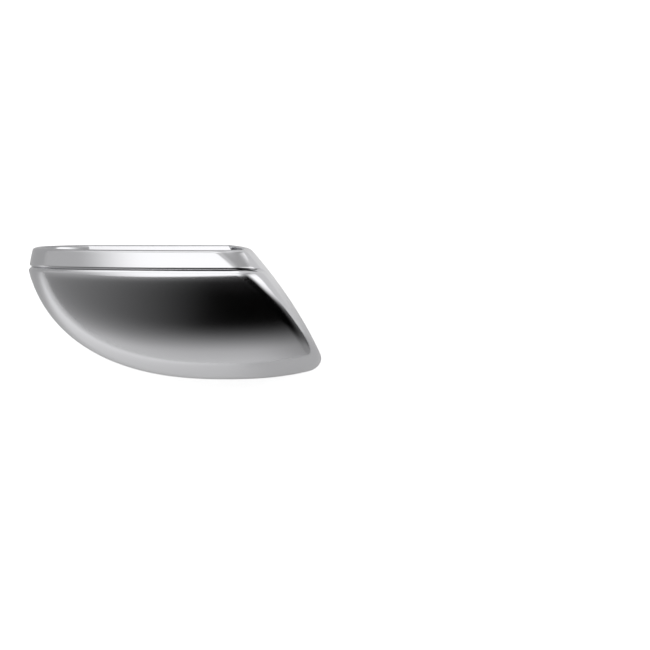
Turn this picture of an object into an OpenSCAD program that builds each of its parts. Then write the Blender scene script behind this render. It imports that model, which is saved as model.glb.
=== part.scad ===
// Wing mirror cover: one plated moulded shell for a car's door mirror.
// Lengths are in millimetres. +X points inboard, -Y to the front of the car, +Z up.
// The cover stands on the flat lower edge, at z = 0, centred on its overall box.

/* [Overall size] */

// Rim plane to the foremost point of the nose
front_reach = 120.5; // [105:0.5:135]
// Crown line to the outboard end of the dome
outboard_reach = 176; // [160:1:190]
// Lower edge to the highest point of the crown
overall_h = 126; // [116:1:132]
// Lower edge to the widest line of the dome
widest_h = 52; // [46:1:58]
// How far below the widest line the dome would close if the lower edge didn't cut it
lower_reach = 70; // [68:1:80]
// Exponent of the dome's curve above the widest line and in plan
roundness = 2.2; // [2.1:0.05:2.4]
// Exponent of the dome's curve below the widest line
lower_roundness = 2.9; // [2.6:0.1:3.2]

/* [Inboard side and ridge] */

// Inboard side at the rim plane, measured from the crown line
side_offset = 20.6; // [18:0.2:24]
// Millimetres the inboard side moves inboard for each one forward, at the rim plane
side_slope = 0.86; // [0.8:0.02:0.9]
// Bow of the inboard side in plan
side_bow = 0.002; // [0.0018:0.0001:0.0022]
// How far the inboard side leans back between the widest line and the crown
side_lean = 6; // [4:0.5:8]
// How far the inboard side tucks under between the widest line and the lower edge
side_tuck = 20; // [12:1:24]
// Ridge radius at the rim
ridge_r = 10; // [8:0.5:12]
// Ridge radius at the tip
tip_r = 15; // [13:0.5:17]

/* [Band and groove round the opening] */

// Depth of the band, from the rim plane to the groove
band_w = 13.4; // [11:0.2:16]
// Inset of the band's rear edge from the line of the dome
band_rear_inset = 5.8; // [5:0.2:7]
// Inset of the band's front edge from the line of the dome
band_front_inset = 1.9; // [1.4:0.1:2.4]
// Inset of the bottom of the groove from the line of the dome
groove_inset = 3.4; // [3:0.1:4]
// Width of the flat bottom of the groove
groove_floor_w = 1.2; // [1:0.1:1.6]
// Width of the groove's sloping front flank
groove_flank_w = 3; // [2.6:0.2:4]
// Radius on the band's front edge
edge_r = 0.6; // [0.4:0.1:0.8]
// Inset of the main form's edge in front of the groove from the line of the dome
swell_inset = 0.6; // [0.4:0.1:1]
// Distance over which the main form's edge swells out to the line of the dome
swell_w = 8.4; // [7:0.2:10]
// Angle before the ridge where the band and groove start to grow from nothing
fade_lead = 6.6; // [5:0.2:8]
// Angle over which the band and groove grow to full depth
fade_span = 11; // [8:1:14]

/* [Wall, lip and flange] */

// Wall of the shell
wall = 2.5; // [2:0.1:3]
// Thickness of the bead round the rim, between its two rounded edges
rim_w = 3.6; // [3.4:0.1:4]
// Radius of the bead's outer edge
rim_r = 2; // [1.6:0.1:2.2]
// Radius of the bead's inner edge
mouth_r = 1.2; // [0.8:0.1:1.2]
// How far the lip inside the opening stands in from the bead's inner edge
lip_in = 1.5; // [1:0.1:2]
// Depth of the lip's flared face
lip_d = 5; // [4:0.5:6]
// Depth behind the flared face where the lip has run out into the wall
lip_back = 3.5; // [3:0.5:5]
// Thickness of the turned-in flange along the lower edge
flange_t = 3; // [2.5:0.1:3.5]
// Width of the turned-in flange
flange_w = 12; // [10:1:14]
// Width of the bar that closes the ring below the opening
bar_w = 20; // [18:1:24]

/* [Arch for the mirror arm] */

// Radius of the arch
arch_r = 34; // [32:1:36]
// Height of the arch above the lower edge
arch_h = 15; // [12:1:17]
// Middle of the arch, forward of the rim plane
arch_mid = 48; // [46:1:50]

/* [Screw holes in the flange] */

// Radius of each screw hole
screw_r = 2.2; // [1.8:0.1:2.6]
// Radius of the raised collar round each screw hole
collar_r = 4.5; // [4:0.1:5]
// Top of the collars above the lower edge
collar_h = 6; // [5:0.5:8]
// Rear outboard screw, measured outboard from the crown line
rear_screw_out = 95; // [80:1:105]
// Rear inboard screw, measured outboard from the crown line
rear_screw_near = 6; // [2:1:12]
// Front outboard screw, measured outboard from the crown line
front_screw_out = 50; // [40:1:60]
// Front inboard screw, measured inboard from the crown line
front_screw_in = 20; // [14:1:26]

/* [Hidden] */

$fa = 6;
$fs = 0.5;

// Distances that only help the construction
crown_x = 45.5;
upper_reach = overall_h - widest_h;
groove_start = band_w + edge_r / 2;
flank_start = groove_start + groove_floor_w;
edge_start = flank_start + groove_flank_w;
blend_end = edge_start + swell_w;
over = 3;
lip_flat = 1.5;
arc_steps = 4;
arch_start = crown_x - 8;
plated = [0.78, 0.78, 0.8];
rear_screw_d = (lip_d + lip_back + bar_w) / 2;

function power(v, e) = v <= 0 ? 0 : pow(v, e);
function fade(t) = let(u = min(max(t, 0), 1)) u * u * (3 - 2 * u);

// Signed distance to the dome, d forward of the rim plane, moved in by an inset
function dome(x, d, z, inset) =
    let(m = z < widest_h ? lower_roundness : roundness)
    let(up = (z < widest_h ? lower_reach : upper_reach) - inset)
    let(across = outboard_reach - inset)
    let(ahead = front_reach - inset)
    let(ax = abs(x - crown_x) / across)
    let(az = abs(z - widest_h) / up)
    let(ad = max(d, 0) / ahead)
    let(g = pow(max(power(ax, m) + power(az, m), 1e-12), 1 / m))
    let(u = pow(power(g, roundness) + power(ad, roundness), 1 / roundness))
    let(k = pow(u, 1 - roundness))
    let(kg = k * pow(g, roundness - m))
    let(gx = kg * power(ax, m - 1) / across)
    let(gz = kg * power(az, m - 1) / up)
    let(gd = k * power(ad, roundness - 1) / ahead)
    (u - 1) / max(norm([gx, gz, gd]), 1e-6);

// Inboard side in plan, leaning back above the widest line and tucking under below it
function side_x(d, z) =
    crown_x + side_offset + side_slope * d - side_bow * d * d
    - side_lean * pow(max(z - widest_h, 0) / upper_reach, 2)
    - side_tuck * pow(max(widest_h - z, 0) / widest_h, 3);

// Signed distance to the inboard side, moved in by an inset
function side(x, d, z, inset) =
    (x - side_x(d, z)) / norm([1, side_slope - 2 * side_bow * d]) + inset;

// Dome and inboard side joined by the rounded ridge
function body(x, d, z, inset) =
    let(a = dome(x, d, z, inset))
    let(b = side(x, d, z, inset))
    let(part = min(max(d, 0) / front_reach, 1))
    let(r = max(ridge_r + (tip_r - ridge_r) * part * part - inset, 1))
    min(-r, max(a, b)) + norm([max(r + a, 0), max(r + b, 0)]);

// Middle of the section at depth d
function mid_x(d, inset) =
    let(ahead = front_reach - inset)
    let(reach = (outboard_reach - inset)
        * power(1 - power(max(d, 0) / ahead, roundness), 1 / roundness))
    let(inboard = side_x(max(d, 0), widest_h) - inset * norm([1, side_slope]))
    (crown_x - reach + min(crown_x + reach, inboard)) / 2;

// Distance from the section's middle out to the surface, found by halving
function reach_out(xc, c, s, d, inset, low, high, steps) =
    let(m = (low + high) / 2)
    steps == 0 ? m
    : body(xc + m * c, d, widest_h + m * s, inset) < 0
        ? reach_out(xc, c, s, d, inset, m, high, steps - 1)
        : reach_out(xc, c, s, d, inset, low, m, steps - 1);

// Height where the dome meets the inboard side, found by halving; way is 1 above, -1 below
function ridge_z(d, way, low, high, steps) =
    let(m = (low + high) / 2)
    let(z = widest_h + way * m)
    steps == 0 ? z
    : dome(side_x(d, z), d, z, 0) < 0
        ? ridge_z(d, way, m, high, steps - 1)
        : ridge_z(d, way, low, m, steps - 1);

// Angle from the inboard direction to the ridge at depth d
function ridge_turn(d, way) =
    let(depth = min(max(d, 0), front_reach - 1))
    let(z = ridge_z(depth, way, 0, way > 0 ? upper_reach : lower_reach, 16))
    max(atan2(abs(z - widest_h), side_x(depth, z) - mid_x(depth, 0)), 9);

// Share of the band and groove at an angle round the section at depth d
function share(a, d) =
    let(way = a > 180 ? -1 : 1)
    let(turn = a > 180 ? 360 - a : a)
    fade((turn - ridge_turn(d, way) + fade_lead) / fade_span);

// Angles round the section at depth d, closer together over the two ridges
function turns(d, flat, bend, round) =
    let(up = ridge_turn(d, 1))
    let(down = ridge_turn(d, -1))
    let(u = min(9, up * 0.6))
    let(w = min(9, down * 0.6))
    concat(
        [for (i = [0 : flat - 1]) w - down + (up - u + down - w) * i / flat + 360],
        [for (i = [0 : bend - 1]) up - u + 2 * u * i / bend],
        [for (i = [0 : round - 1]) up + u + (360 - down - w - up - u) * i / round],
        [for (i = [0 : bend - 1]) 360 - down - w + 2 * w * i / bend]);

// Closed loop of points round the section at depth d
function loop(d, plain, shaped, angles) =
    [for (b = angles)
        let(a = b >= 360 ? b - 360 : b)
        let(inset = plain + (shaped == 0 ? 0 : shaped * share(a, d)))
        let(xc = mid_x(d, inset))
        let(m = reach_out(xc, cos(a), sin(a), d, inset, 0, 260, 22))
        [xc + m * cos(a), -d, widest_h + m * sin(a)]];

// Solid skinned over loops from the rear to a point at the nose
module skin(loops, nose) {
    n = len(loops[0]);
    last = len(loops) - 1;
    points = concat([for (l = loops) each l], [nose]);
    rear = [[for (j = [0 : n - 1]) j]];
    sides = [for (i = [0 : last - 1], j = [0 : n - 1], half = [0, 1])
        let(k = (j + 1) % n)
        half == 0
            ? [i * n + j, (i + 1) * n + j, (i + 1) * n + k]
            : [i * n + j, (i + 1) * n + k, i * n + k]];
    front = [for (j = [0 : n - 1])
        [last * n + j, len(points) - 1, last * n + (j + 1) % n]];
    polyhedron(points = points, faces = concat(rear, sides, front), convexity = 6);
}

// Inset of the band's tapered face at a depth
function band_inset(d) = band_rear_inset + (band_front_inset - band_rear_inset) * d / band_w;

// Inset of the lip's flared face at a depth, from the outside of the band
function lip_inset(d) = rim_w + lip_in * d / lip_d;

// Depth and inset along a rounded edge of radius r, from the rim plane forward
function edge_arc(r) =
    [for (i = [0 : arc_steps]) let(t = 90 * i / arc_steps) [r * (1 - cos(t)), r * (1 - sin(t))]];

// Depth, plain inset and band inset, from the rim to the dome
outer_rows = [
    each [for (p = edge_arc(rim_r)) [p[0], p[1], band_inset(p[0])]],
    [band_w - edge_r / 2, 0, band_inset(band_w - edge_r / 2)],
    [band_w, 0, band_front_inset + edge_r / 2],
    [groove_start, 0, groove_inset],
    [flank_start, 0, groove_inset],
    [edge_start - edge_r / 2, 0, swell_inset + edge_r / 4],
    each [for (t = [0.05, 0.3, 0.6, 1]) [edge_start + t * swell_w, 0, swell_inset * pow(1 - t, 3)]]];

// Depth, plain inset and band inset, for the inside of the lip, ring and wall
inner_rows = [
    [-over, rim_w - mouth_r, band_rear_inset],
    each [for (p = edge_arc(mouth_r)) [p[0], lip_inset(p[0]) - p[1], band_rear_inset]],
    [lip_d, lip_inset(lip_d), band_rear_inset],
    [lip_d + lip_flat, lip_inset(lip_d), band_rear_inset],
    [lip_d + lip_back, wall, band_inset(lip_d + lip_back)],
    [flank_start, wall, groove_inset],
    [edge_start + wall, wall, swell_inset],
    [blend_end + wall, wall, 0]];

function nose_rows(first, depth, count) =
    let(start = asin(first / depth))
    [for (i = [1 : count - 1]) depth * sin(start + (90 - start) * i / count)];

function outer_turns(d) = turns(d, 8, 9, 46);
function inner_turns(d) = turns(d, 6, 5, 32);

outer_loops = concat(
    [for (r = outer_rows) loop(r[0], r[1], r[2], outer_turns(r[0]))],
    [for (d = nose_rows(blend_end, front_reach, 20)) loop(d, 0, 0, outer_turns(d))]);
inner_loops = concat(
    [for (r = inner_rows) loop(r[0], r[1], r[2], inner_turns(r[0]))],
    [for (d = nose_rows(blend_end + wall, front_reach - wall, 13))
        loop(d, wall, 0, inner_turns(d))]);

outer_xs = [for (l = outer_loops) each [for (p = l) if (p[2] >= 0) p[0]]];
centre_x = (min(outer_xs) + max(outer_xs)) / 2;
centre_y = -front_reach / 2;

// Across and forward position of each screw, in the middle of the flange
screw_places = [
    [crown_x - rear_screw_out, rear_screw_d],
    [crown_x - rear_screw_near, rear_screw_d],
    [crown_x - front_screw_out, edge_depth(front_screw_out) - flange_w / 2],
    [crown_x + front_screw_in, edge_depth(front_screw_in) - flange_w / 2]];

// Outside of the cover
module outside() {
    skin(outer_loops, [crown_x, -front_reach, widest_h]);
}

// Hollow inside the wall
module hollow() {
    skin(inner_loops, [crown_x, wall - front_reach, widest_h]);
}

// Everything above a level, as one large block
module above(level) {
    translate([-250, -200, level])
        cube([500, 300, 200]);
}

// Half width of the dome at a depth, in the plane of the lower edge
function edge_half(d) =
    let(g = power(1 - power(d / front_reach, roundness), 1 / roundness))
    let(low = widest_h / lower_reach)
    outboard_reach * power(power(g, lower_roundness) - power(low, lower_roundness),
        1 / lower_roundness);

// Depth of the lower edge's front outline at a distance from the crown line
function edge_depth(out) =
    let(ax = abs(out) / outboard_reach)
    let(low = widest_h / lower_reach)
    let(g = pow(power(ax, lower_roundness) + power(low, lower_roundness), 1 / lower_roundness))
    front_reach * power(1 - power(g, roundness), 1 / roundness);

// Outline of the lower edge in plan
module edge_outline() {
    steps = 30;
    deep = edge_depth(0);
    depths = [for (i = [0 : steps]) deep * sin(90 * i / steps)];
    left = [for (d = depths) [crown_x - edge_half(d), -d]];
    right = [for (i = [steps - 1 : -1 : 0])
        [min(crown_x + edge_half(depths[i]), side_x(depths[i], 0)), -depths[i]]];
    polygon(concat(left, right));
}

// Opening through the lower edge, inside the flange and forward of the bar
module lower_opening() {
    translate([0, 0, -over])
        linear_extrude(height = flange_t + 2 * over)
            intersection() {
                offset(r = -flange_w)
                    edge_outline();
                translate([-250, -bar_w - 200])
                    square([500, 200]);
            }
}

// Everything the hollow may take above the flange and the bar's flared lip
module above_flange() {
    translate([-250, 0, 0])
        rotate([90, 0, 90])
            linear_extrude(height = 500)
                polygon([
                    [over, rim_w - mouth_r],
                    each [for (p = edge_arc(mouth_r)) [-p[0], lip_inset(p[0]) - p[1]]],
                    [-lip_d, lip_inset(lip_d)],
                    [-lip_d - lip_flat, lip_inset(lip_d)],
                    [-lip_d - lip_back, flange_t],
                    [-200, flange_t],
                    [-200, 200],
                    [over, 200]]);
}

// Arch through the inboard side, where the mirror's arm passes
module arm_arch() {
    translate([arch_start, -arch_mid, arch_h - arch_r])
        rotate([0, 90, 0])
            cylinder(r = arch_r, h = 170);
}

// Round piece standing on the lower edge at each screw position
module at_screws(r, low, high) {
    for (p = screw_places)
        translate([p[0], -p[1], low])
            cylinder(r = r, h = high - low);
}

// The cover: outside form less the hollow, the lower opening, the arch and the screw holes
module cover_shell() {
    color(plated)
        translate([-centre_x, -centre_y, 0])
            difference() {
                intersection() {
                    outside();
                    above(0);
                }
                difference() {
                    intersection() {
                        hollow();
                        above_flange();
                    }
                    at_screws(collar_r, -over, collar_h);
                }
                lower_opening();
                arm_arch();
                at_screws(screw_r, -over, collar_h + over);
            }
}

cover_shell();
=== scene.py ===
"""Satin chrome wing mirror cover on a white floor, seen from above."""
import math

import bpy
import numpy as np
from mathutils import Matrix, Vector


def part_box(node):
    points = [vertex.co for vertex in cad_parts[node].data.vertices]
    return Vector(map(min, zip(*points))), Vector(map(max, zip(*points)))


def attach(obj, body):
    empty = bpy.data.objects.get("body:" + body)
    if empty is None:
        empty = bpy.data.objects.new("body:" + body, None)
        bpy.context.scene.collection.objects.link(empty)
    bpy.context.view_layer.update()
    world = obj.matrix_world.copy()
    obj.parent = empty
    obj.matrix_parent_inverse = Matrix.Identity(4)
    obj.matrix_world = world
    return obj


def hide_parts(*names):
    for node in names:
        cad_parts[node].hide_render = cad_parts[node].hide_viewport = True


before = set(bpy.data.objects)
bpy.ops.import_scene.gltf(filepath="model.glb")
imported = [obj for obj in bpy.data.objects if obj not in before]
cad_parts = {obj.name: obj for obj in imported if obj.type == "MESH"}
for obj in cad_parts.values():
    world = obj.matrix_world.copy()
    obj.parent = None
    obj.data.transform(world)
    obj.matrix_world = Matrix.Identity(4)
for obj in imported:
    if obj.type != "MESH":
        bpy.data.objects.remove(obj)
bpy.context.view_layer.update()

MM = 0.001

# Dome, in millimetres: x across, d forward of the rim plane, z up
CROWN_X = 47.2
FRONT_REACH = 118.6
DOME_BACK = 22.0
OUTBOARD_REACH = 176.6
OVERALL_H = 126.0
WIDEST_H = 52.0
LOWER_REACH = 70.0
ROUNDNESS = 2.2
LOWER_ROUNDNESS = 2.9
PLAN_ROUNDNESS = 2.4

# Inboard side and the ridge between it and the dome
SIDE_OFFSET = 23.0
SIDE_SLOPE = 0.865
SIDE_BOW = 0.0022
SIDE_H = 80.0
SIDE_LEAN = 8.0
SIDE_TUCK = 20.0
SIDE_TUCK_POWER = 1.7
RIDGE_R = 20.0
WAIST_R = 3.5
TIP_R = 18.0

# Band, its front edge, the groove and the main form's edge; an inset is from the dome
BAND_W = 15.9
BAND_REAR_INSET = 7.6
BAND_FRONT_INSET = 1.8
GROOVE_INSET = 3.6
GROOVE_WALL_W = 0.35
GROOVE_FLOOR_W = 1.0
GROOVE_FLOOR_SLOPE = 0.35
GROOVE_FLANK_W = 2.0
GROOVE_CREST_W = 1.0
GROOVE_CREST_SLOPES = (0.6, 0.35)
EDGE_W = 1.0
EDGE_FALL = 0.24
SWELL_INSET = 0.8
SWELL_W = 8.4

# End of the band and groove at the ridges: degrees before the ridge, degrees that it takes,
# and by how many degrees both change for each millimetre forward of the band
FADE_LEAD = 9.0
FADE_SPAN = 10.0
FADE_SLANT = 1.2
FADE_TIGHTEN = 0.8

# Depths at which the parts of the groove and of the main form's edge begin
GROOVE_START = BAND_W + GROOVE_WALL_W
FLANK_START = GROOVE_START + GROOVE_FLOOR_W
CREST_START = FLANK_START + GROOVE_FLANK_W
EDGE_START = CREST_START + GROOVE_CREST_W
BLEND_END = EDGE_START + SWELL_W

# Parts of the groove's forward side: width, and share of the flank's slope at start and end
GROOVE_PARTS = (
    (GROOVE_FLOOR_W, GROOVE_FLOOR_SLOPE, 1.0),
    (GROOVE_FLANK_W, 1.0, 1.0),
    (GROOVE_CREST_W, *GROOVE_CREST_SLOPES))

# Half axes of the dome, which reaches its named sizes where the main form starts
DEEP_AXIS = FRONT_REACH + DOME_BACK
START_DEPTH = (EDGE_START + DOME_BACK) / DEEP_AXIS
START_SHARE = (1 - START_DEPTH ** PLAN_ROUNDNESS) ** (1 / PLAN_ROUNDNESS)
WIDE_AXIS = OUTBOARD_REACH / START_SHARE
UPPER_AXIS = (OVERALL_H - WIDEST_H) / START_SHARE
LOWER_AXIS = LOWER_REACH / START_SHARE

# Wall, lip, flange and holes
WALL = 2.5
RIM_W = 4.4
RIM_R = 2.4
MOUTH_R = 1.8
LIP_IN = 1.5
LIP_D = 5.0
LIP_FLAT = 1.5
LIP_BACK = 3.5
FLANGE_T = 3.0
FLANGE_W = 12.0
OFFSET_SLACK = 0.2
BAR_W = 20.0
ARCH_H = 15.0
ARCH_R = 34.0
ARCH_MID = 48.0
ARCH_OUTBOARD = 9.0
ARCH_START = CROWN_X - ARCH_OUTBOARD
SCREW_R = 2.2
COLLAR_R = 4.5
COLLAR_H = 6.0

# Screw holes where the solid has them: inboard of the crown line, forward of the rim plane
SCREWS = ((-96.0, 14.25), (-7.0, 14.25), (-51.0, 78.3), (19.0, 80.2))

# Reach of the cutting solids past what they cut, and how far the arch's cylinder runs
OVER = 3.0
OVER_RIM = 4.0
FAR_ACROSS = 250.0
FAR_AHEAD = 200.0
FAR_BEHIND = 100.0
FAR_UP = 200.0
ARCH_LENGTH = 150.0

# Points of a loop: on the inboard side, over each ridge and round the dome. A ridge's points
# lie within a span of degrees, or a share of its turn where that is less
OUTER_TURNS = (40, 36, 230)
INNER_TURNS = (20, 16, 120)
RIDGE_SPAN = 12.0
RIDGE_SHARE = 0.6

# Loops on the band, the groove's parts, the main form's edge and from there to the nose
BAND_ROWS = 13
EDGE_STEPS = (0.0, 0.15, 0.3, 0.5, 0.7, 0.85, 1.0)
GROOVE_WALL_STEPS = (0.1, 0.5, 0.9)
FLOOR_ROWS = 7
FLANK_ROWS = 8
CREST_ROWS = 7
SWELL_ROWS = 18
SWELL_SPACING = 1.3
OUTER_NOSE = 130
INNER_NOSE = 60

# Points of the other outlines, and the angle above which an edge stays sharp, in degrees
ARCH_POINTS = 160
OPENING_POINTS = 160
HOLE_POINTS = 64
SHARP_ANGLE = 34.0

# Limits of the searches: steps, farthest reach, gap to the nose, least ridge radius and turn
HALVINGS = 34
REACH_LIMIT = 260.0
NOSE_GAP = 1.0
LEAST_RIDGE_R = 1.0
LEAST_RIDGE_TURN = 9.0

# Satin chrome
METAL_COLOUR = (0.62, 0.62, 0.635)
ROUGHNESS_LOW = 0.12
ROUGHNESS_HIGH = 0.16
CLOUD_SCALE = 30.0
CLOUD_DETAIL = 4.0
GRAIN_SCALE = 2600.0
GRAIN_DETAIL = 2.0
GRAIN_STRENGTH = 0.06
GRAIN_DEPTH = 0.0002

# Floor, in metres: its colour, its light for the camera, the painted glow that only reflections
# see, and the places between which that painted glow changes
FLOOR_HALF = 6.0
FLOOR_COLOUR = 0.85
FLOOR_LIFT = 0.8
# Painted glow seen only in reflections: a base level, a brighter patch ahead outboard, and levels
# behind and inboard
FLOOR_PAINTED_GLOW = 0.3
FLOOR_BRIGHT = 0.35
FLOOR_BRIGHT_X = (-0.5, 0.1)
FLOOR_FAR_X = (-0.9, -0.3)
FLOOR_REAR = 0.05
FLOOR_REAR_Y = (-0.14, 0.0)
FLOOR_INBOARD = 0.15
FLOOR_INBOARD_REAR = 0.38
FLOOR_INBOARD_Y = (-0.01, 0.06)
FLOOR_INBOARD_X = (0.02, 0.12)

# Studio, by direction: x inboard, y rearward, z up, and turns in degrees about z. Each pair
# gives the two directions between which a level changes
# Wall all round
WALL_LIT = 0.75
WALL_DIM = 0.37
WALL_TURN = (0.0, 0.37)
WALL_SIDE = 0.6
WALL_SIDE_TURN = (-1.0, -0.5)
WALL_END = 0.13
WALL_END_TURN = (0.7, 1.0)
WALL_TOP = 0.5
WALL_HIGH = 0.79

# Ceiling ahead
CEILING_FROM = -0.09
CEILING_RISE = 0.33
BESIDE_PANEL = 0.25
BESIDE_TURN = (-0.4, 0.0)
BESIDE_X = (-0.4, 0.25)
CEILING_EDGE = 0.54
CEILING_BOW_OUTBOARD = 0.73
CEILING_BOW_INBOARD = 0.23
CEILING_SOFT = 0.22
CEILING_SOFT_OUTBOARD = 0.35

# White panel overhead and behind, with the gap across it
PANEL = 1.6
PANEL_EDGE = 0.62
PANEL_OUTBOARD = (-0.76, -0.32)
PANEL_INBOARD = 0.5
PANEL_INBOARD_TURN = (0.05, 0.48)
PANEL_START = (-0.15, 0.05)
PANEL_TURN = (41.0, 51.0)
GAP = 0.8
GAP_START = (0.68, 0.76)
GAP_END = (0.82, 0.88)

# Strip light inboard
STRIP = 1.7
STRIP_START = (17.0, 35.0)
STRIP_END = (40.0, 56.0)
STRIP_TOP = (0.38, 0.78)

# Camera: size of the photograph and of its pixels, where the rim's outboard end lies in it,
# and the camera's distance and tilt
PHOTO_PX = 650
PX_SIZE = 0.9 * MM
RIM_PX = (31.6, 247.1)
CAMERA_FAR = 1.5
CAMERA_TILT = 5.0
SENSOR_W = 36.0


def power(v, e):
    """v to the power e, with nothing below zero."""
    return np.maximum(v, 0.0) ** e


def fade(t):
    """Smooth step from 0 to 1."""
    u = np.clip(t, 0.0, 1.0)
    return u * u * (3 - 2 * u)


def dome(x, d, z, inset):
    """Signed distance to the dome, moved in by an inset."""
    below = z < WIDEST_H
    m = np.where(below, LOWER_ROUNDNESS, ROUNDNESS)
    n = PLAN_ROUNDNESS
    up = np.where(below, LOWER_AXIS, UPPER_AXIS) - inset
    across = WIDE_AXIS - inset
    ahead = DEEP_AXIS - inset
    ax = np.abs(x - CROWN_X) / across
    az = np.abs(z - WIDEST_H) / up
    ad = np.maximum(d + DOME_BACK, 0.0) / ahead
    g = np.maximum(power(ax, m) + power(az, m), 1e-12) ** (1 / m)
    u = (g ** n + ad ** n) ** (1 / n)
    k = u ** (1 - n)
    kg = k * g ** (n - m)
    gx = kg * power(ax, m - 1) / across
    gz = kg * power(az, m - 1) / up
    gd = k * ad ** (n - 1) / ahead
    return (u - 1) / np.maximum(np.sqrt(gx * gx + gz * gz + gd * gd), 1e-6)


def side_x(d, z):
    """Inboard side in plan, leaning back above its fullest line and tucking under below it."""
    lean = SIDE_LEAN * (np.maximum(z - SIDE_H, 0) / (OVERALL_H - SIDE_H)) ** 2
    tuck = SIDE_TUCK * (np.maximum(SIDE_H - z, 0) / SIDE_H) ** SIDE_TUCK_POWER
    return CROWN_X + SIDE_OFFSET + SIDE_SLOPE * d - SIDE_BOW * d * d - lean - tuck


def ridge_radius(d):
    """Radius of the ridge, which is tightest about halfway forward."""
    part = np.clip(d / FRONT_REACH, 0.0, 1.0)
    return WAIST_R + (RIDGE_R - WAIST_R) * (1 - part) ** 2 + (TIP_R - WAIST_R) * part ** 4


def body(x, d, z, inset):
    """Dome and inboard side joined by the rounded ridge."""
    a = dome(x, d, z, inset)
    b = (x - side_x(d, z)) / np.sqrt(1 + (SIDE_SLOPE - 2 * SIDE_BOW * d) ** 2) + inset
    r = np.maximum(ridge_radius(d) - inset, LEAST_RIDGE_R)
    outside = np.hypot(np.maximum(r + a, 0), np.maximum(r + b, 0))
    return np.minimum(-r, np.maximum(a, b)) + outside


def section_share(d, inset):
    """Size of the dome's section at depth d, as a share of its half axes."""
    ahead = (d + DOME_BACK) / (DEEP_AXIS - inset)
    return power(1 - power(ahead, PLAN_ROUNDNESS), 1 / PLAN_ROUNDNESS)


def mid_x(d, inset):
    """Middle of the section at depth d."""
    depth = np.maximum(d, 0.0)
    reach = (WIDE_AXIS - inset) * section_share(depth, inset)
    inboard = side_x(depth, WIDEST_H) - inset * math.hypot(1, SIDE_SLOPE)
    return (CROWN_X - reach + np.minimum(CROWN_X + reach, inboard)) / 2


def halve(inside, low, high):
    """Distance where inside() turns false, found by halving."""
    for _ in range(HALVINGS):
        middle = (low + high) / 2
        within = inside(middle)
        low = np.where(within, middle, low)
        high = np.where(within, high, middle)
    return (low + high) / 2


def ridge_turn(d, way):
    """Angle from the inboard direction to the ridge above (way 1) or below (way -1)."""
    depth = np.clip(d, 0.0, FRONT_REACH - NOSE_GAP)
    limit = UPPER_AXIS if way > 0 else LOWER_AXIS

    def inside(h):
        z = WIDEST_H + way * h
        return dome(side_x(depth, z), depth, z, 0.0) < 0

    h = halve(inside, np.zeros_like(depth), np.full_like(depth, limit))
    across = side_x(depth, WIDEST_H + way * h) - mid_x(depth, 0.0)
    return np.maximum(np.degrees(np.arctan2(h, across)), LEAST_RIDGE_TURN)


def band_share(a, d):
    """Share of the band and groove at an angle round the section."""
    turn = np.where(a > 180, 360 - a, a)
    ridge = np.where(a > 180, ridge_turn(d, -1), ridge_turn(d, 1))
    past = np.clip(d - BAND_W, 0.0, EDGE_START - BAND_W)
    lead = FADE_LEAD + FADE_SLANT * past
    span = FADE_SPAN - FADE_TIGHTEN * past
    return fade((turn - ridge + lead) / span)


def edge_swell(a):
    """Inset of the main form's edge at an angle: full at the crown, nothing at the outboard end."""
    return SWELL_INSET * np.abs(np.sin(np.radians(a)))


def turns(d, side_count, ridge_count, dome_count):
    """Angles round the section at depth d, closer together over the two ridges."""
    up = float(ridge_turn(np.array([d]), 1)[0])
    down = float(ridge_turn(np.array([d]), -1)[0])
    u = min(RIDGE_SPAN, up * RIDGE_SHARE)
    w = min(RIDGE_SPAN, down * RIDGE_SHARE)
    spans = [
        (w - down + 360, up - u + down - w, side_count),
        (up - u, 2 * u, ridge_count),
        (up + u, 360 - down - w - up - u, dome_count),
        (360 - down - w, 2 * w, ridge_count)]
    return np.concatenate([start + span * np.arange(n) / n for start, span, n in spans]) % 360


def loop(d, plain, shaped, swell, turn_counts):
    """Closed loop of points round the section at depth d."""
    a = turns(d, *turn_counts)
    inset = plain + (shaped + swell * edge_swell(a)) * band_share(a, np.full_like(a, d))
    xc = mid_x(d, inset)
    c = np.cos(np.radians(a))
    s = np.sin(np.radians(a))
    reach = halve(
        lambda m: body(xc + m * c, d, WIDEST_H + m * s, inset) < 0,
        np.zeros_like(a), np.full_like(a, REACH_LIMIT))
    return np.stack([xc + reach * c, np.full_like(a, -d), WIDEST_H + reach * s], axis=1)


def band_inset(d):
    """Inset of the band's tapered face at a depth."""
    return BAND_REAR_INSET + (BAND_FRONT_INSET - BAND_REAR_INSET) * d / BAND_W


def groove_rise(d):
    """Rise from the groove's bottom to a depth, before it is scaled to the groove's inset."""
    start = GROOVE_START
    total = 0.0
    for width, first, last in GROOVE_PARTS:
        t = min(max((d - start) / width, 0.0), 1.0)
        total += width * (first * t + (last - first) * t * t / 2)
        start += width
    return total


def groove_row(d):
    """Depth, plain inset, band inset and swell in the groove."""
    up = groove_rise(d) / groove_rise(EDGE_START)
    return (d, 0.0, (1 - up) * GROOVE_INSET, up)


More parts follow.
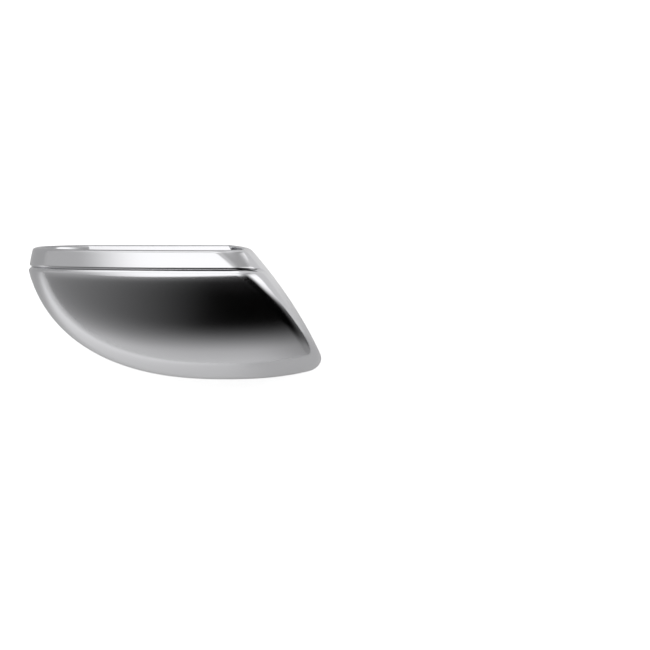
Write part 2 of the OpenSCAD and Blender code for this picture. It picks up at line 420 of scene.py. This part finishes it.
def outer_rows():
    """Depth, plain inset, band inset and swell from the rim to where the dome begins."""
    rows = [(d, inset, band_inset(d), 0.0) for d, inset in edge_arc(RIM_R)]
    front = BAND_W - EDGE_W
    rows += [(d, 0.0, band_inset(d), 0.0) for d in np.linspace(RIM_R, front, BAND_ROWS)[1:-1]]
    rows += [(front + t * EDGE_W, 0.0, band_inset(front) + t * EDGE_FALL, 0.0)
             for t in EDGE_STEPS]
    wall_top = band_inset(front) + EDGE_FALL
    rows += [(BAND_W + t * GROOVE_WALL_W, 0.0, wall_top + (GROOVE_INSET - wall_top) * t, 0.0)
             for t in GROOVE_WALL_STEPS]
    rows += [groove_row(d) for d in np.linspace(GROOVE_START, FLANK_START, FLOOR_ROWS)]
    rows += [groove_row(d) for d in np.linspace(FLANK_START, CREST_START, FLANK_ROWS)[1:]]
    rows += [groove_row(d) for d in np.linspace(CREST_START, EDGE_START, CREST_ROWS)[1:-1]]
    rows += [(EDGE_START + t * SWELL_W, 0.0, 0.0, (1 - t) ** 3)
             for t in np.linspace(0, 1, SWELL_ROWS) ** SWELL_SPACING]
    return rows


def lip_inset(d):
    """Inset of the lip's flared face at a depth, from the outside of the band."""
    return RIM_W + LIP_IN * d / LIP_D


def edge_arc(r, steps=8):
    """Depth and inset along a rounded edge, from the rim plane forward."""
    return [(r * (1 - math.cos(t)), r * (1 - math.sin(t)))
            for t in np.linspace(0, math.pi / 2, steps + 1)]


def inner_rows():
    """Depth, plain inset, band inset and swell inside the lip, the band and the wall."""
    rounded = [(d, lip_inset(d) - inset, BAND_REAR_INSET, 0.0) for d, inset in edge_arc(MOUTH_R)]
    return [(-OVER, RIM_W - MOUTH_R, BAND_REAR_INSET, 0.0)] + rounded + [
        (LIP_D, lip_inset(LIP_D), BAND_REAR_INSET, 0.0),
        (LIP_D + LIP_FLAT, lip_inset(LIP_D), BAND_REAR_INSET, 0.0),
        (LIP_D + LIP_BACK, WALL, band_inset(LIP_D + LIP_BACK), 0.0),
        (FLANK_START, WALL, GROOVE_INSET, 0.0),
        (EDGE_START + WALL, WALL, 0.0, 1.0),
        (BLEND_END + WALL, WALL, 0.0, 0.0)]


def nose_rows(first, depth, count):
    """Depths from the dome's start to just short of the nose, closer together near it."""
    start = math.asin(first / depth)
    return [depth * math.sin(start + (math.pi / 2 - start) * i / count) for i in range(1, count)]


def skin(name, rows, plain, depth, nose_count, turn_counts):
    """Closed solid skinned over loops from the rear to a point at the nose."""
    loops = [loop(*row, turn_counts) for row in rows]
    loops += [loop(d, plain, 0.0, 0.0, turn_counts)
              for d in nose_rows(rows[-1][0], depth, nose_count)]
    n = len(loops[0])
    last = len(loops) - 1
    points = np.concatenate(loops + [np.array([[CROWN_X, -depth, WIDEST_H]])])
    faces = [list(range(n))[::-1]]
    for i in range(last):
        for j in range(n):
            k = (j + 1) % n
            faces.append([i * n + j, i * n + k, (i + 1) * n + k, (i + 1) * n + j])
    faces += [[last * n + j, last * n + (j + 1) % n, len(points) - 1] for j in range(n)]
    return solid(name, points, faces)


def solid(name, points, faces):
    """Object made from points in millimetres."""
    mesh = bpy.data.meshes.new(name)
    mesh.from_pydata([tuple(p) for p in np.asarray(points)], [], faces)
    mesh.update()
    obj = bpy.data.objects.new(name, mesh)
    bpy.context.collection.objects.link(obj)
    return obj


def prism(name, outline, axis, start, end):
    """Solid of a flat outline drawn out along X (outline in y, z) or Z (outline in x, y)."""
    n = len(outline)

    def place(p, level):
        return (level, p[0], p[1]) if axis == "X" else (p[0], p[1], level)

    points = [place(p, start) for p in outline] + [place(p, end) for p in outline]
    faces = [list(range(n))[::-1], list(range(n, 2 * n))]
    faces += [[i, (i + 1) % n, (i + 1) % n + n, i + n] for i in range(n)]
    return solid(name, points, faces)


def solid_box(name, low, high):
    """Plain box between two corners."""
    outline = [(low[0], low[1]), (high[0], low[1]), (high[0], high[1]), (low[0], high[1])]
    return prism(name, outline, "Z", low[2], high[2])


def circle(x, y, r, n=HOLE_POINTS):
    """Points round a circle."""
    return [(x + r * math.cos(2 * math.pi * i / n), y + r * math.sin(2 * math.pi * i / n))
            for i in range(n)]


def edge_half(d):
    """Half width of the dome at a depth, in the plane of the lower edge."""
    low = WIDEST_H / LOWER_AXIS
    return WIDE_AXIS * power(
        section_share(d, 0.0) ** LOWER_ROUNDNESS - low ** LOWER_ROUNDNESS, 1 / LOWER_ROUNDNESS)


def edge_depth(out):
    """Depth of the lower edge's front outline at a distance from the crown line."""
    low = WIDEST_H / LOWER_AXIS
    ax = abs(out) / WIDE_AXIS
    g = (ax ** LOWER_ROUNDNESS + low ** LOWER_ROUNDNESS) ** (1 / LOWER_ROUNDNESS)
    return DEEP_AXIS * (1 - g ** PLAN_ROUNDNESS) ** (1 / PLAN_ROUNDNESS) - DOME_BACK


def lower_opening_outline():
    """Outline of the opening inside the flange, forward of the bar."""
    deep = edge_depth(0.0)
    depths = deep * np.sin(np.linspace(0, math.pi / 2, OPENING_POINTS))
    left = np.stack([CROWN_X - edge_half(depths), -depths], axis=1)
    right_x = np.minimum(CROWN_X + edge_half(depths), side_x(depths, 0.0))
    right = np.stack([right_x, -depths], axis=1)[-2::-1]
    edge = np.concatenate([left, right])
    step = np.roll(edge, -1, axis=0) - np.roll(edge, 1, axis=0)
    step /= np.maximum(np.linalg.norm(step, axis=1, keepdims=True), 1e-9)
    inward = np.stack([-step[:, 1], step[:, 0]], axis=1)
    inset = edge + FLANGE_W * inward
    keep = [p for p, q in zip(inset, edge) if p[1] < -BAR_W and clear_of(p, edge)]
    first = at_bar(keep[0], keep[1])
    last = at_bar(keep[-1], keep[-2])
    return [first] + [tuple(p) for p in keep] + [last]


def clear_of(p, edge):
    """Whether a point of the inset outline keeps the flange's full width."""
    return np.min(np.hypot(edge[:, 0] - p[0], edge[:, 1] - p[1])) > FLANGE_W - OFFSET_SLACK


def at_bar(p, q):
    """Point where the line through p and q meets the bar's front edge."""
    t = (-BAR_W - p[1]) / (q[1] - p[1])
    return (p[0] + t * (q[0] - p[0]), -BAR_W)


def combine(target, tool, operation):
    """Join, cut or keep what is common, and drop the tool."""
    modifier = target.modifiers.new(operation, "BOOLEAN")
    modifier.operation = operation
    modifier.object = tool
    modifier.solver = "MANIFOLD"
    depsgraph = bpy.context.evaluated_depsgraph_get()
    mesh = bpy.data.meshes.new_from_object(target.evaluated_get(depsgraph))
    target.modifiers.clear()
    old = target.data
    target.data = mesh
    bpy.data.meshes.remove(old)
    bpy.data.objects.remove(tool)


def screw_places():
    """Place of each screw hole in x and y, where the solid has it."""
    return [(CROWN_X + out, -d) for out, d in SCREWS]


def make_shell():
    """The cover: outside form less the hollow, the lower opening, the arch and the holes."""
    shell = skin("shell", outer_rows(), 0.0, FRONT_REACH, OUTER_NOSE, OUTER_TURNS)
    low, high = (-FAR_ACROSS, -FAR_AHEAD, 0.0), (FAR_ACROSS, FAR_BEHIND, FAR_UP)
    combine(shell, solid_box("above_edge", low, high), "INTERSECT")
    combine(shell, make_hollow(), "DIFFERENCE")
    opening = prism("lower_opening", lower_opening_outline(), "Z", -OVER, FLANGE_T + OVER)
    combine(shell, opening, "DIFFERENCE")
    arch = circle(-ARCH_MID, ARCH_H - ARCH_R, ARCH_R, ARCH_POINTS)
    combine(shell, prism("arch", arch, "X", ARCH_START, ARCH_START + ARCH_LENGTH), "DIFFERENCE")
    for x, y in screw_places():
        hole = prism("screw", circle(x, y, SCREW_R), "Z", -OVER, COLLAR_H + OVER)
        combine(shell, hole, "DIFFERENCE")
    return shell


def make_hollow():
    """The space inside the cover, down to the flange and the screws' collars."""
    hollow = skin("hollow", inner_rows(), WALL, FRONT_REACH - WALL, INNER_NOSE, INNER_TURNS)
    rise = [(OVER_RIM, RIM_W - MOUTH_R)]
    rise += [(-d, lip_inset(d) - inset) for d, inset in edge_arc(MOUTH_R)]
    rise += [
        (-LIP_D, lip_inset(LIP_D)), (-LIP_D - LIP_FLAT, lip_inset(LIP_D)),
        (-LIP_D - LIP_BACK, FLANGE_T), (-FAR_AHEAD, FLANGE_T),
        (-FAR_AHEAD, FAR_UP), (OVER_RIM, FAR_UP)]
    above_flange = prism("above_flange", rise[::-1], "X", -FAR_ACROSS, FAR_ACROSS)
    combine(hollow, above_flange, "INTERSECT")
    for x, y in screw_places():
        collar = prism("collar", circle(x, y, COLLAR_R), "Z", -OVER, COLLAR_H)
        combine(hollow, collar, "DIFFERENCE")
    return hollow


def settle(shell):
    """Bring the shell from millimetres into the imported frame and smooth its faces."""
    mesh = shell.data
    points = np.empty(len(mesh.vertices) * 3)
    mesh.vertices.foreach_get("co", points)
    points = points.reshape(-1, 3) * MM
    low, high = (np.array(corner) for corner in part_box("cover_shell"))
    seat = (low + high - points.min(axis=0) - points.max(axis=0)) / 2
    seat[1] = high[1] - points[:, 1].max()
    seat[2] = low[2] - points[:, 2].min()
    points += seat
    mesh.vertices.foreach_set("co", points.ravel())
    mesh.update()
    mesh.shade_smooth()
    mesh.set_sharp_from_angle(angle=math.radians(SHARP_ANGLE))


def nodes_of(tree):
    """Functions that add a node and join two sockets."""
    def add(kind, **values):
        node = tree.nodes.new(kind)
        for key, value in values.items():
            setattr(node, key, value)
        return node

    return add, tree.links.new


def satin_chrome():
    """Satin plating: neutral metal with a fine grain and a faint unevenness."""
    material = bpy.data.materials.new("satin_chrome")
    material.use_nodes = True
    tree = material.node_tree
    add, join = nodes_of(tree)
    shader = tree.nodes["Principled BSDF"]
    shader.inputs["Base Color"].default_value = (*METAL_COLOUR, 1)
    shader.inputs["Metallic"].default_value = 1.0
    place = add("ShaderNodeTexCoord")
    cloud = add("ShaderNodeTexNoise")
    cloud.inputs["Scale"].default_value = CLOUD_SCALE
    cloud.inputs["Detail"].default_value = CLOUD_DETAIL
    join(place.outputs["Object"], cloud.inputs["Vector"])
    spread = add("ShaderNodeMapRange")
    spread.inputs["To Min"].default_value = ROUGHNESS_LOW
    spread.inputs["To Max"].default_value = ROUGHNESS_HIGH
    join(cloud.outputs["Fac"], spread.inputs["Value"])
    join(spread.outputs["Result"], shader.inputs["Roughness"])
    grain = add("ShaderNodeTexNoise")
    grain.inputs["Scale"].default_value = GRAIN_SCALE
    grain.inputs["Detail"].default_value = GRAIN_DETAIL
    join(place.outputs["Object"], grain.inputs["Vector"])
    bump = add("ShaderNodeBump")
    bump.inputs["Strength"].default_value = GRAIN_STRENGTH
    bump.inputs["Distance"].default_value = GRAIN_DEPTH
    join(grain.outputs["Fac"], bump.inputs["Height"])
    join(bump.outputs["Normal"], shader.inputs["Normal"])
    return material


def sums(tree):
    """Functions for sums in nodes: one operation, a smooth step and a blend."""
    add, join = nodes_of(tree)

    def put(value, socket):
        if isinstance(value, (int, float)):
            socket.default_value = value
        else:
            join(value, socket)

    def calc(operation, *values):
        node = add("ShaderNodeMath", operation=operation)
        for value, socket in zip(values, node.inputs):
            put(value, socket)
        return node.outputs["Value"]

    def step(value, low, high, start=0.0, end=1.0):
        node = add("ShaderNodeMapRange", interpolation_type="SMOOTHSTEP")
        names = ("Value", "From Min", "From Max", "To Min", "To Max")
        for name, number in zip(names, (value, low, high, start, end)):
            put(number, node.inputs[name])
        return node.outputs["Result"]

    def blend(a, b, share):
        return calc("ADD", a, calc("MULTIPLY", calc("SUBTRACT", b, a), share))

    return calc, step, blend


def painted_floor_glow(x, y, calc, step, blend):
    """Painted glow on the floor that only reflections see: brighter ahead of the cover outboard,
    and behind it inboard.
    """
    bright = calc("MULTIPLY", step(x, *FLOOR_BRIGHT_X, FLOOR_BRIGHT, 0.0), step(x, *FLOOR_FAR_X))
    ahead = calc("ADD", FLOOR_PAINTED_GLOW, bright)
    outboard = blend(ahead, FLOOR_REAR, step(y, *FLOOR_REAR_Y))
    inboard = step(y, *FLOOR_INBOARD_Y, FLOOR_INBOARD, FLOOR_INBOARD_REAR)
    return blend(outboard, inboard, step(x, *FLOOR_INBOARD_X))


def floor_white():
    """White paper, lifted to white for the camera where no shadow lies, with painted glow that only
    reflections see.
    """
    material = bpy.data.materials.new("floor_white")
    material.use_nodes = True
    tree = material.node_tree
    add, join = nodes_of(tree)
    calc, step, blend = sums(tree)
    tree.nodes.remove(tree.nodes["Principled BSDF"])
    paper = add("ShaderNodeBsdfDiffuse")
    paper.inputs["Color"].default_value = (FLOOR_COLOUR, FLOOR_COLOUR, FLOOR_COLOUR, 1)
    place = add("ShaderNodeTexCoord")
    split = add("ShaderNodeSeparateXYZ")
    join(place.outputs["Object"], split.inputs["Vector"])
    ray = add("ShaderNodeLightPath")
    # Painted glow on the floor, for glossy rays only
    painted_glow = painted_floor_glow(split.outputs["X"], split.outputs["Y"], calc, step, blend)
    painted_glow = calc("MULTIPLY", painted_glow, ray.outputs["Is Glossy Ray"])
    lift = calc("MULTIPLY", ray.outputs["Is Camera Ray"], FLOOR_LIFT)
    glow = add("ShaderNodeEmission")
    join(calc("ADD", painted_glow, lift), glow.inputs["Strength"])
    both = add("ShaderNodeAddShader")
    join(paper.outputs["BSDF"], both.inputs[0])
    join(glow.outputs["Emission"], both.inputs[1])
    join(both.outputs["Shader"], tree.nodes["Material Output"].inputs["Surface"])
    return material


def make_floor():
    """Floor under the cover, lit by the studio."""
    mesh = bpy.data.meshes.new("floor")
    r = FLOOR_HALF
    mesh.from_pydata([(-r, -r, 0), (r, -r, 0), (r, r, 0), (-r, r, 0)], [], [(0, 1, 2, 3)])
    floor = bpy.data.objects.new("floor", mesh)
    bpy.context.collection.objects.link(floor)
    mesh.materials.append(floor_white())


def wall_light(x, z, calc, step):
    """Pale wall all round at the horizon: dimmer inboard, far outboard and higher up."""
    level = step(x, *WALL_TURN, WALL_LIT, WALL_DIM)
    level = calc("MULTIPLY", level, step(x, *WALL_SIDE_TURN, WALL_SIDE, 1.0))
    level = calc("ADD", level, step(x, *WALL_END_TURN, 0.0, WALL_END - WALL_DIM))
    return calc("MULTIPLY", level, step(z, 0.0, WALL_TOP, 1.0, WALL_HIGH))


def ceiling_light(x, y, calc, step):
    """Dark ceiling ahead: a little lighter outboard, and beside the white panel."""
    outboard = calc("MAXIMUM", calc("SUBTRACT", CEILING_FROM, x), 0.0)
    level = calc("MULTIPLY", outboard, CEILING_RISE)
    beside = step(y, *BESIDE_TURN, 0.0, BESIDE_PANEL)
    beside = calc("MULTIPLY", beside, step(x, *BESIDE_X, 1.0, 0.0))
    return calc("ADD", level, beside)


def ceiling_share(x, z, calc, step):
    """Share of the ceiling over the wall, which rises at either side."""
    outboard = calc("POWER", calc("MAXIMUM", calc("MULTIPLY", x, -1.0), 0.0), 2.0)
    inboard = calc("POWER", calc("MAXIMUM", x, 0.0), 2.0)
    fall = calc("MULTIPLY", inboard, CEILING_BOW_INBOARD)
    fall = calc("MULTIPLY_ADD", outboard, CEILING_BOW_OUTBOARD, fall)
    height = calc("SUBTRACT", calc("ADD", z, fall), CEILING_EDGE)
    soft = calc("MULTIPLY_ADD", outboard, CEILING_SOFT_OUTBOARD, CEILING_SOFT)
    return step(calc("DIVIDE", height, soft), -1.0, 1.0)


def panel_light(x, y, calc, step, blend):
    """White panel overhead and behind, fading outboard, with a grey gap across it."""
    level = step(x, *PANEL_OUTBOARD, PANEL_EDGE, PANEL)
    level = blend(level, PANEL_INBOARD, step(x, *PANEL_INBOARD_TURN))
    gap = calc("MULTIPLY", step(y, *GAP_START), step(y, *GAP_END, 1.0, 0.0))
    return blend(level, calc("MINIMUM", level, GAP), gap)


def make_world():
    """Studio of wall, ceiling, panel and strip light; the camera itself sees white."""
    world = bpy.data.worlds.new("studio")
    bpy.context.scene.world = world
    world.use_nodes = True
    tree = world.node_tree
    add, join = nodes_of(tree)
    calc, step, blend = sums(tree)
    way = add("ShaderNodeTexCoord")
    split = add("ShaderNodeSeparateXYZ")
    join(way.outputs["Generated"], split.inputs["Vector"])
    x, y, z = split.outputs["X"], split.outputs["Y"], split.outputs["Z"]
    turn = calc("MULTIPLY", calc("ARCTAN2", y, x), 180 / math.pi)
    ahead = blend(wall_light(x, z, calc, step), ceiling_light(x, y, calc, step),
                  ceiling_share(x, z, calc, step))
    behind = calc("MULTIPLY", step(y, *PANEL_START), step(turn, *PANEL_TURN))
    seen = blend(ahead, panel_light(x, y, calc, step, blend), behind)
    strip = calc("MULTIPLY", step(turn, *STRIP_START), step(turn, *STRIP_END, 1.0, 0.0))
    strip = calc("MULTIPLY", strip, step(z, *STRIP_TOP, 1.0, 0.0))
    seen = blend(seen, STRIP, strip)
    camera = add("ShaderNodeLightPath").outputs["Is Camera Ray"]
    background = tree.nodes["Background"]
    background.inputs["Color"].default_value = (1, 1, 1, 1)
    join(blend(seen, 1.0, camera), background.inputs["Strength"])


def make_camera():
    """Camera almost straight above, set a little to the rear, with the top of the view rearward."""
    lens = bpy.data.cameras.new("camera")
    lens.sensor_width = SENSOR_W
    lens.lens = SENSOR_W * CAMERA_FAR / (PHOTO_PX * PX_SIZE)
    camera = bpy.data.objects.new("camera", lens)
    target = photo_point(PHOTO_PX / 2, PHOTO_PX / 2)
    tilt = math.radians(CAMERA_TILT)
    camera.location = target + Vector((0, math.sin(tilt), math.cos(tilt))) * CAMERA_FAR
    camera.rotation_euler = (-tilt, 0, 0)
    bpy.context.collection.objects.link(camera)
    bpy.context.scene.camera = camera


def photo_point(px, py):
    """Point at the height of the widest line that the photograph shows at a pixel."""
    low, high = (np.array(c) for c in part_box("cover_shell"))
    rim = Vector((low[0], high[1], WIDEST_H * MM))
    return rim + Vector(((px - RIM_PX[0]) * PX_SIZE, (RIM_PX[1] - py) * PX_SIZE, 0))


bpy.context.scene.view_settings.view_transform = "Standard"
make_camera()
shell = make_shell()
settle(shell)
shell.data.materials.clear()
shell.data.materials.append(satin_chrome())
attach(shell, "root")
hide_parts("cover_shell")
make_floor()
make_world()
